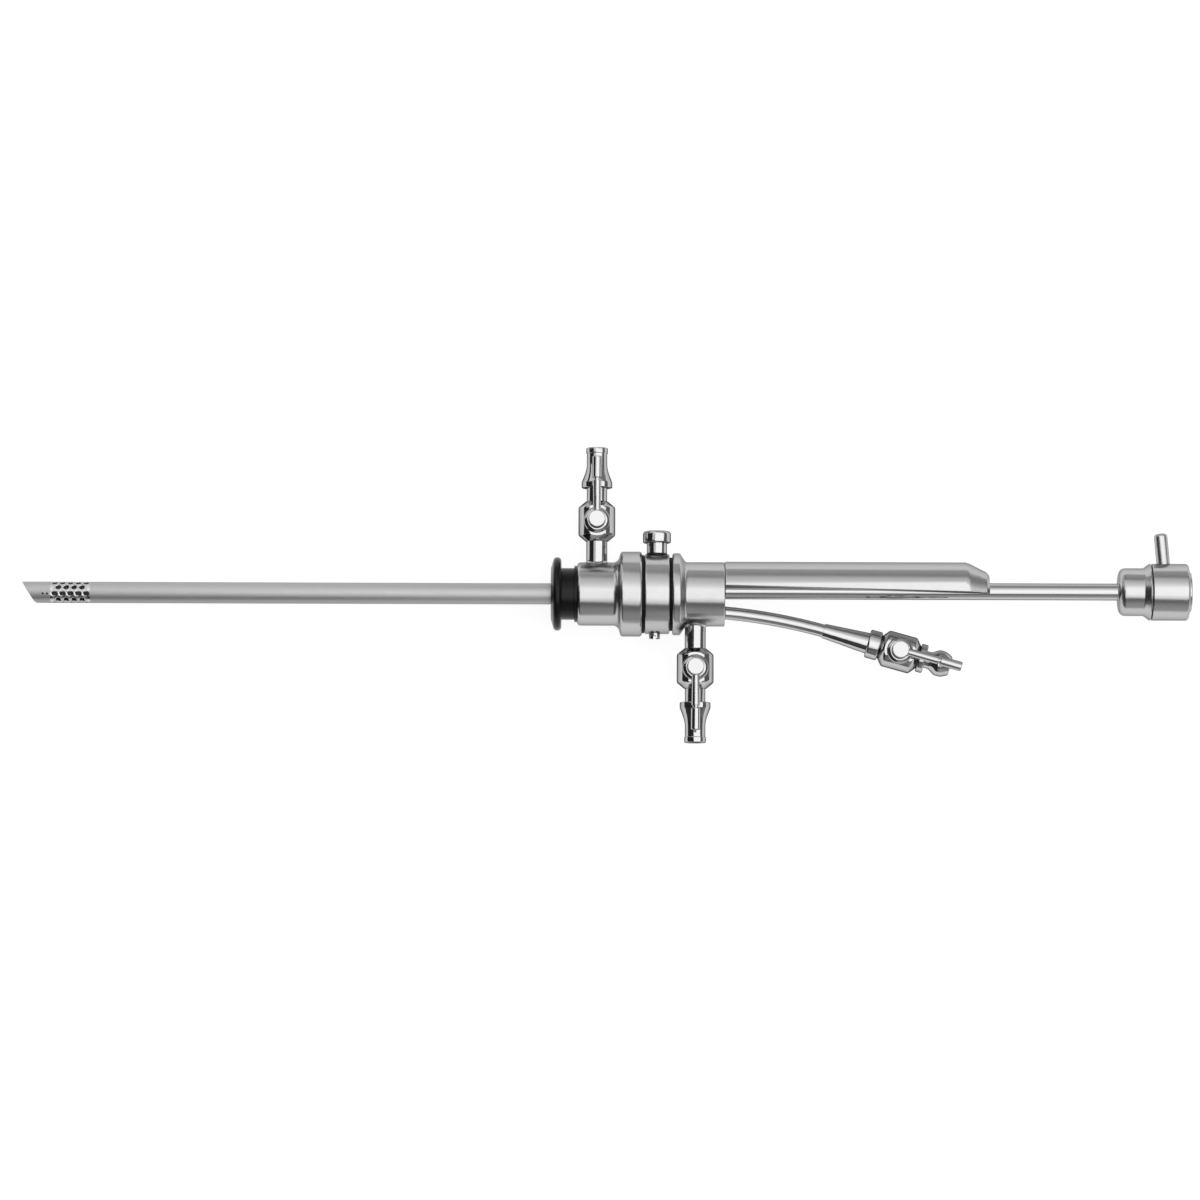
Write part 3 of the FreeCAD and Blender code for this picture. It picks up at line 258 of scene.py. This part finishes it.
def textured(name, shade, metallic, roughness, spread, cloud_scale, bump_scale, bump_depth, bump_stretch=None,
             edge=1.0, brushed=0.0, lengthwise=False, wear=0.0, shine=0.5):
    """Material with one noise for the gloss and one, that may be stretched along X, for the fine relief.
    Brushed is how far the gloss spreads across the turning lines, or across lines that run lengthwise.
    Wear is how much smoother the edges are, rubbed by wiping and handling, and they shade as slightly round.
    An edge is where the surface turns away from its rounded self: it begins where the cosine between the two
    falls below edge_begins and is full at edge_is_full.
    The turning axis is X but for a hair, so that faces square to X have lines too."""
    material = bpy.data.materials.new(name)
    tree = emptied(material)
    out = add(tree, "ShaderNodeOutputMaterial")
    surface = add(tree, "ShaderNodeBsdfPrincipled",
                  {"Base Color": shade + (1,), "Metallic": metallic, "Specular Tint": (edge, edge, edge, 1),
                   "Anisotropic": brushed, "Specular IOR Level": shine})
    facing = add(tree, "ShaderNodeNewGeometry")
    round_lines = add(tree, "ShaderNodeVectorMath", {1: turning_axis}, operation="CROSS_PRODUCT")
    long_lines = add(tree, "ShaderNodeVectorMath", operation="CROSS_PRODUCT")
    link(tree, facing, "Normal", round_lines, 0)
    link(tree, facing, "Normal", long_lines, 0)
    link(tree, round_lines, 0, long_lines, 1)
    link(tree, round_lines if lengthwise else long_lines, 0, surface, "Tangent")
    place = add(tree, "ShaderNodeTexCoord")
    clouds = add(tree, "ShaderNodeTexNoise", {"Scale": cloud_scale, "Detail": 4.0})
    gloss = add(tree, "ShaderNodeMapRange", {"To Min": roughness - spread, "To Max": roughness + spread})
    stretch = add(tree, "ShaderNodeMapping", {"Scale": bump_stretch or (1, 1, 1)})
    relief = add(tree, "ShaderNodeTexNoise", {"Scale": bump_scale, "Detail": 3.0})
    bump = add(tree, "ShaderNodeBump", {"Strength": relief_strength, "Distance": bump_depth})
    link(tree, place, "Object", clouds, "Vector")
    link(tree, clouds, 0, gloss, "Value")
    round_edges = add(tree, "ShaderNodeBevel", {"Radius": edge_round}, samples=edge_samples)
    turn = add(tree, "ShaderNodeVectorMath", operation="DOT_PRODUCT")
    rubbed = add(tree, "ShaderNodeMapRange",
                 {"From Min": edge_begins, "From Max": edge_is_full, "To Max": wear})
    worn_gloss = add(tree, "ShaderNodeMath", operation="SUBTRACT", use_clamp=True)
    link(tree, facing, "Normal", turn, 0)
    link(tree, round_edges, 0, turn, 1)
    link(tree, turn, "Value", rubbed, "Value")
    link(tree, gloss, 0, worn_gloss, 0)
    link(tree, rubbed, 0, worn_gloss, 1)
    link(tree, worn_gloss, 0, surface, "Roughness")
    link(tree, place, "Object", stretch, "Vector")
    link(tree, stretch, 0, relief, "Vector")
    link(tree, relief, 0, bump, "Height")
    link(tree, round_edges, 0, bump, "Normal")
    link(tree, bump, 0, surface, "Normal")
    link(tree, surface, 0, out, "Surface")
    return material


def dress(material, *names):
    """Give CAD nodes their finished material and smooth, crisp-edged shading."""
    for name in names:
        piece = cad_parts[name]
        for slot in piece.material_slots:
            slot.link = "OBJECT"
            slot.material = material
        weld = piece.modifiers.new("weld", "WELD")
        weld.merge_threshold = weld_reach
        crisp = piece.modifiers.new("crisp", "EDGE_SPLIT")
        crisp.split_angle = crease_angle
        even = piece.modifiers.new("even", "WEIGHTED_NORMAL")
        even.keep_sharp = True
        piece.data.shade_smooth()


satin = textured("satin_steel", steel_grey, metallic=1.0, roughness=0.24, spread=0.07, cloud_scale=210,
                 bump_scale=1.0, bump_depth=0.00002, bump_stretch=(8000, 120, 120), edge=0.4, brushed=0.7,
                 wear=0.10)
dress(satin, "outer_hub", "lock_housing", "inner_hub", "grip", "head_body", "lock_ring", "lock_ring_pin")


# Polished steel: taps, nozzles, pipes, button, guide tube and channel tube, buffed by hand, so the surface
# swells a little and the gloss is smudged.
polished = textured("polished_steel", steel_grey, metallic=1.0, roughness=0.08, spread=0.03, cloud_scale=420,
                    bump_scale=300, bump_depth=0.00003, edge=0.0, wear=0.03)
tap_pieces = ("stopcock_body", "plug", "lever", "spring_washer", "cap_nut")
dress(polished, *[tap + "_" + piece for tap in ("outer", "inner", "port") for piece in tap_pieces])
dress(polished, "outer_branch_pipe", "outer_nozzle", "inner_branch_pipe", "inner_nozzle", "release_button",
      "union_nut", "channel_ferrule", "channel_tube", "guide_tube", "slide_pin", "port_fitting")


# Outer sheath tube: drawn steel, polished along its length and then dulled, with rubbed hole rims. The fine
# drawing lines run along it.
drawing_lines = (60, 6000, 6000)
drawn = textured("tube_steel", steel_grey, metallic=1.0, roughness=0.42, spread=0.04, cloud_scale=300,
                 bump_scale=1.0, bump_depth=0.00001, bump_stretch=drawing_lines, edge=0.3, brushed=0.7,
                 lengthwise=True, wear=0.25)
dress(drawn, "outer_tube")


# Rings round the outflow holes, which are drilled through the outer tube's wall: smoother steel, with a
# painted sheen, a brighter steel colour that paints the highlight of each countersink. With the tube unrolled
# flat, holes stand in rows spaced evenly round it, every second row half a step along, so two wrapped grids
# give the distance to the nearest hole.
sheath_axis_y = -0.00095
tube_radius = 0.002835
hole_rows = 10
hole_row_step = 2 * math.pi * tube_radius / hole_rows
first_row_angle = math.radians(12)
hole_step = 0.0021
first_hole_x = -0.2932
holes_middle_x = -0.2890
holes_reach = 0.0053
rim_sheen_outer_radius = 0.00110
rim_sheen_full_radius = 0.00088
painted_sheen_grey = (0.62, 0.62, 0.625)
rim_gloss = 0.14


def blend_colour(tree, amount, first, second):
    """Colour of the steel that goes from the first to the second as the amount node goes from 0 to 1."""
    colour = add(tree, "ShaderNodeMix", data_type="RGBA")
    colour.inputs[6].default_value = first + (1,)
    colour.inputs[7].default_value = second + (1,)
    link(tree, amount, 0, colour, 0)
    link(tree, colour, 2, tree.nodes["Principled BSDF"], "Base Color")


tree = drawn.node_tree
surface = tree.nodes["Principled BSDF"]
place = add(tree, "ShaderNodeTexCoord")
split = add(tree, "ShaderNodeSeparateXYZ")
drop = add(tree, "ShaderNodeMath", {0: sheath_axis_y}, operation="SUBTRACT")
turn = add(tree, "ShaderNodeMath", operation="ARCTAN2")
arc = add(tree, "ShaderNodeMath", {1: tube_radius, 2: -first_row_angle * tube_radius},
          operation="MULTIPLY_ADD")
link(tree, place, "Object", split, "Vector")
link(tree, split, "Y", drop, 1)
link(tree, drop, 0, turn, 0)
link(tree, split, "Z", turn, 1)
link(tree, turn, 0, arc, 0)
nearest = add(tree, "ShaderNodeMath", operation="MINIMUM")
for grid, shift in enumerate((0.0, 0.5)):
    from_hole = add(tree, "ShaderNodeMath", {1: first_hole_x + shift * hole_step}, operation="SUBTRACT")
    from_row = add(tree, "ShaderNodeMath", {1: 2 * shift * hole_row_step}, operation="SUBTRACT")
    along = add(tree, "ShaderNodeMath", {1: hole_step / 2, 2: -hole_step / 2}, operation="WRAP")
    across = add(tree, "ShaderNodeMath", {1: hole_row_step, 2: -hole_row_step}, operation="WRAP")
    offset = add(tree, "ShaderNodeCombineXYZ")
    distance = add(tree, "ShaderNodeVectorMath", operation="LENGTH")
    link(tree, split, "X", from_hole, 0)
    link(tree, arc, 0, from_row, 0)
    link(tree, from_hole, 0, along, 0)
    link(tree, from_row, 0, across, 0)
    link(tree, along, 0, offset, "X")
    link(tree, across, 0, offset, "Y")
    link(tree, offset, 0, distance, 0)
    link(tree, distance, "Value", nearest, grid)
ring = add(tree, "ShaderNodeMapRange", {"From Min": rim_sheen_outer_radius, "From Max": rim_sheen_full_radius})
field = add(tree, "ShaderNodeMath", {1: holes_middle_x, 2: holes_reach}, operation="COMPARE")
smooth_rim_and_sheen = add(tree, "ShaderNodeMath", operation="MULTIPLY")
# Painted sheen: the rings get a brighter steel colour, besides the smoother gloss below.
blend_colour(tree, smooth_rim_and_sheen, steel_grey, painted_sheen_grey)
gloss = add(tree, "ShaderNodeMix", {3: rim_gloss}, data_type="FLOAT")
link(tree, nearest, 0, ring, "Value")
link(tree, split, "X", field, 0)
link(tree, ring, 0, smooth_rim_and_sheen, 0)
link(tree, field, 0, smooth_rim_and_sheen, 1)
link(tree, smooth_rim_and_sheen, 0, gloss, 0)
tree.links.new(surface.inputs["Roughness"].links[0].from_socket, gloss.inputs[2])
link(tree, gloss, 0, surface, "Roughness")


# Inner tube: drawn steel that keeps its dull finish. It runs inside the outer tube, and its tip is painted
# near black: painted shade, for the deep shadow that fills the outflow holes.
dull_grey = (0.30, 0.30, 0.303)
painted_shade_black = (0.05, 0.05, 0.051)
painted_shade_begins_x = -0.2810
painted_shade_full_x = -0.2825
dull = textured("dull_tube_steel", dull_grey, metallic=1.0, roughness=0.45, spread=0.05, cloud_scale=300,
                bump_scale=1.0, bump_depth=0.00001, bump_stretch=drawing_lines, edge=0.3)
tree = dull.node_tree
place = add(tree, "ShaderNodeTexCoord")
split = add(tree, "ShaderNodeSeparateXYZ")
painted_shade_mask = add(tree, "ShaderNodeMapRange", {"From Min": painted_shade_begins_x, "From Max": painted_shade_full_x})
link(tree, place, "Object", split, "Vector")
link(tree, split, "X", painted_shade_mask, "Value")
# Painted shade: the tip goes near black, for the shadow seen through the outflow holes.
blend_colour(tree, painted_shade_mask, dull_grey, painted_shade_black)
dress(dull, "inner_tube")


# Small steel parts that stay inside: the latch's slide, the head's retainer ring and stop pin, and the index
# pin of the outer hub. They are ground to size and left with an even grey finish.
ground = textured("ground_steel", (0.45, 0.45, 0.455), metallic=1.0, roughness=0.35, spread=0.06,
                  cloud_scale=300, bump_scale=2500, bump_depth=0.00001)
dress(ground, "lock_slide", "ring_retainer", "ring_stop_pin", "index_pin")


# Coil spring under the button: round spring wire that stands on the bush's floor, in the CAD coil's box.
# It takes the place of the CAD coil, as a mesh of its own.
spring_turns = 5
wire_radius = 0.00017
wire_steps = 32
wire_sides = 14


def skin(name, points, ends_meet, material, body):
    """Piece from a grid of points (steps, round the section, 3), closed round the section: each face joins
    two neighbours of a section to the same two of the next. The last section meets the first, or both get a
    lid.
    The faces' volume is the sum of a . (b x c) / 6 over their triangles. Where it is negative the faces point
    inwards, and each one is turned round about its first corner."""
    steps, section = points.shape[:2]
    index = np.arange(steps * section).reshape(steps, section)
    here, there = (index, np.roll(index, -1, 0)) if ends_meet else (index[:-1], index[1:])
    faces = np.stack((here, np.roll(here, -1, 1), np.roll(there, -1, 1), there), -1).reshape(-1, 4)
    lids = [] if ends_meet else [index[0][::-1], index[-1]]
    flat = points.reshape(-1, 3) - points.reshape(-1, 3).mean(0)
    a, b, c, d = (flat[faces[:, corner]] for corner in range(4))
    volume = np.sum(a * (np.cross(b, c) + np.cross(c, d))) / 6
    if volume < 0:
        faces, lids = faces[:, [0, 3, 2, 1]], [lid[::-1] for lid in lids]
    mesh = bpy.data.meshes.new(name)
    mesh.from_pydata(points.reshape(-1, 3).tolist(), [], faces.tolist() + [lid.tolist() for lid in lids])
    mesh.shade_smooth()
    mesh.materials.append(material)
    piece = bpy.data.objects.new(name, mesh)
    bpy.context.scene.collection.objects.link(piece)
    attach(piece, body)
    return piece


def coil(name, low, high, turns, thick, material, body):
    """Wire of a round section carried along a helix: the middle line is R cos a, up evenly, R sin a for the
    angle a through all turns. The section's circle lies across it, on the outward and crosswise arrows."""
    angle = np.linspace(0.0, 2 * np.pi * turns, wire_steps * turns + 1)
    radius = (high[0] - low[0]) / 2 - thick
    bottom, height = low[1] + thick, high[1] - low[1] - 2 * thick
    outward = np.stack((np.cos(angle), np.zeros_like(angle), np.sin(angle)), -1)
    middle = radius * outward + np.stack((np.full_like(angle, (low[0] + high[0]) / 2),
                                          bottom + height * angle / angle[-1],
                                          np.full_like(angle, (low[2] + high[2]) / 2)), -1)
    forward = np.gradient(middle, axis=0)
    forward /= np.linalg.norm(forward, axis=1, keepdims=True)
    crosswise = np.cross(forward, outward)
    around = np.linspace(0.0, 2 * np.pi, wire_sides, endpoint=False)[None, :, None]
    circle = np.cos(around) * outward[:, None] + np.sin(around) * crosswise[:, None]
    points = middle[:, None] + thick * circle
    return skin(name, points, False, material, body)


spring_low, spring_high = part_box("button_spring")
press_spring = coil("press_spring", spring_low, spring_high, spring_turns, wire_radius, ground,
                    "inner_sheath")
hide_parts("button_spring")
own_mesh(press_spring)


# Black flange and collar in front of the outer hub, moulded from hard plastic, with edges that handling has
# made a little smoother. The steel bush under the button gets the same black as painted shade, for the dark
# gap where it sits in the housing.
black_shade = (0.006, 0.006, 0.0065)
black = textured("black_plastic", black_shade, metallic=0.0, roughness=0.24, spread=0.06, cloud_scale=300,
                 bump_scale=2500, bump_depth=0.00001, wear=0.08, shine=0.2)
dress(black, "nose_flange", "nose_ring", "button_bush")


# Seals of black rubber: the spigot's O-ring, the gasket between housing and inner hub, and the port's and
# the telescope's seals. They are moulded, dull, and held in their grooves and seats.
rubber = textured("seal_rubber", black_shade, metallic=0.0, roughness=0.6, spread=0.08, cloud_scale=300,
                  bump_scale=1500, bump_depth=0.00002, shine=0.15)
dress(rubber, "hub_o_ring", "hub_gasket", "port_seal", "telescope_seal")


# Silver solder in the roots of the soldered tubes, drawn into a hollow fillet: branch pipes on the hubs, the
# guide tube and the instrument channel on the inner hub's rear face, and the guide tube at the head.
solder = textured("silver_solder", (0.52, 0.515, 0.50), metallic=1.0, roughness=0.26, spread=0.08,
                  cloud_scale=900, bump_scale=900, bump_depth=0.00004, edge=0.4)
solder_sunk = 0.00002
core_depths = 3
root_steps = 96
fillet_steps = 9
pipe_leg = 0.0006
tube_leg = 0.0004
head_leg = 0.0003
branch_pipe_radius = 0.0028
guide_tube_radius = 0.00225
channel_tube_radius = 0.00173
channel_drop = 0.00495
channel_slope = math.tan(math.radians(5))
outer_hub_radius = 0.00845
inner_hub_radius = 0.0086
outer_pipe_x = -0.1488
inner_pipe_x = -0.1225
inner_hub_rear_x = -0.1147
head_front_x = -0.0097


def root_fillet(name, leg, wall, body):
    """Hollow fillet in the root of a tube. wall(out, up) gives the points round the tube at a distance out
    from its wall and up from the surface that it stands on. The section is the curve (1-s)^2 A + 2s(1-s) K +
    s^2 B from the wall at A, drawn towards the corner K, to the surface at B, closed by a point sunk in both,
    a few times deeper than the curve's ends."""
    share = np.linspace(0.0, 1.0, fillet_steps)[None, :, None]
    high, corner, low = wall(-solder_sunk, leg), wall(0.0, 0.0), wall(leg, -solder_sunk)
    curve = ((1 - share) ** 2 * high[:, None] + 2 * share * (1 - share) * corner[:, None]
             + share ** 2 * low[:, None])
    core = wall(-core_depths * solder_sunk, -core_depths * solder_sunk)[:, None]
    return skin(name, np.concatenate((curve, core), 1), True, solder, body)


def on_hub(root_x, side, hub_radius, tube_radius):
    """Points round a pipe that stands square on a hub: the hub's height over its axis is sqrt(R^2 - z^2)."""
    def wall(out, up):
        angle = np.linspace(0.0, 2 * np.pi, root_steps, endpoint=False)
        z = (tube_radius + out) * np.sin(angle)
        height = np.sqrt(hub_radius ** 2 - z ** 2) + up
        return np.stack((root_x + (tube_radius + out) * np.cos(angle), sheath_axis_y + side * height, z), -1)
    return wall


def on_face(face_x, side, centre_y, tube_radius, slope=0.0):
    """Points round a tube that leaves a flat face along X: a circle of the tube's radius, moved down by the
    slope times its height over the face."""
    def wall(out, up):
        angle = np.linspace(0.0, 2 * np.pi, root_steps, endpoint=False)
        radius = tube_radius + out
        return np.stack((np.full_like(angle, face_x + side * up),
                         centre_y + radius * np.cos(angle) - slope * up, radius * np.sin(angle)), -1)
    return wall


root_fillet("outer_pipe_solder", pipe_leg, on_hub(outer_pipe_x, 1, outer_hub_radius, branch_pipe_radius),
            "outer_sheath")
root_fillet("inner_pipe_solder", pipe_leg, on_hub(inner_pipe_x, -1, inner_hub_radius, branch_pipe_radius),
            "inner_sheath")
root_fillet("guide_tube_solder", tube_leg, on_face(inner_hub_rear_x, 1, 0.0, guide_tube_radius),
            "inner_sheath")
root_fillet("channel_tube_solder", tube_leg,
            on_face(inner_hub_rear_x, 1, sheath_axis_y - channel_drop, channel_tube_radius, channel_slope),
            "inner_sheath")
root_fillet("head_solder", head_leg, on_face(head_front_x, -1, 0.0, guide_tube_radius), "inner_sheath")


# Black ring in the slit between the sheath's ring and the lock housing: painted shade, a dark sheet that
# fills the shadow of the slit, with the seals' rubber finish. It sits on the ring's rear face, so it comes
# off with the outer sheath.
shade_ring_steps = 160
shade_ring_bend_steps = 6


def shade_ring(name, front_x, rear_x, inside, outside, rounding, material, body):
    """Flat ring round the sheath's axis. Its section is a rectangle whose outer corners are quarter circles
    of the given rounding, swept round the axis through a full turn."""
    turn = np.linspace(0.0, 2 * np.pi, shade_ring_steps, endpoint=False)
    bend = np.linspace(0.0, np.pi / 2, shade_ring_bend_steps)
    rear_corner = np.stack((rear_x - rounding + rounding * np.sin(bend[::-1]),
                            outside - rounding + rounding * np.cos(bend[::-1])), -1)
    front_corner = np.stack((front_x + rounding - rounding * np.sin(bend),
                             outside - rounding + rounding * np.cos(bend)), -1)
    section = np.concatenate((((front_x, inside), (rear_x, inside)), rear_corner, front_corner))
    points = np.stack((np.broadcast_to(section[:, 0], (len(turn), len(section))),
                       sheath_axis_y + np.cos(turn)[:, None] * section[:, 1],
                       np.sin(turn)[:, None] * section[:, 1]), -1)
    return skin(name, points, True, material, body)


# Painted shade: a dark ring that fills the slit, where there is only shadow.
shade_ring("joint_shade_ring", front_x=-0.13670, rear_x=-0.13606, inside=0.0058, outside=0.01045, rounding=0.0001,
       material=rubber, body="outer_sheath")
